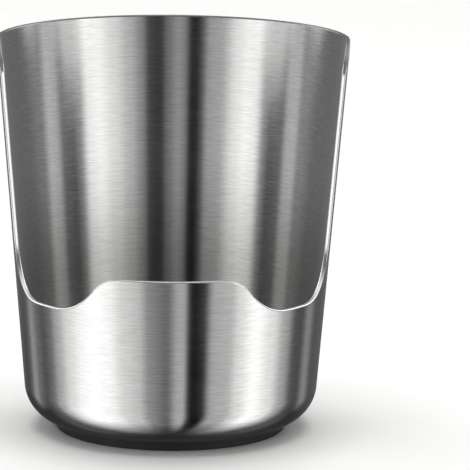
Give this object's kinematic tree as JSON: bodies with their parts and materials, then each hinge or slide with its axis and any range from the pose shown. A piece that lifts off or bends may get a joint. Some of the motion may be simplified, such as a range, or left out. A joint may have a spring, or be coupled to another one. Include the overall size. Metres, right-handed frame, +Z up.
{
  "type": "utensil holder",
  "caption": "Open-fronted brushed steel cup for kitchen utensils, with hollows in the wall to rest chopsticks across and a non-slip pad under it.",
  "frame": {"origin": "middle of the underside of the non-slip pad, on the surface that the holder stands on", "axes": "+Z up along the axis of the cup, -Y towards the low front lip, +X to the right when the front is seen"},
  "size_m": [0.0998, 0.0949, 0.112],
  "materials": {
    "brushed_steel": "fine brushing round the axis, inside and outside, with polished edges",
    "black_silicone": "matt moulded silicone",
    "bonding_film": "thin double-sided film, hidden between the pad and the base"
  },
  "bodies": {
    "root": {"steel_body": "brushed_steel", "foot_pad": "black_silicone", "bonding_film": "bonding_film"}
  },
  "joints": []
}
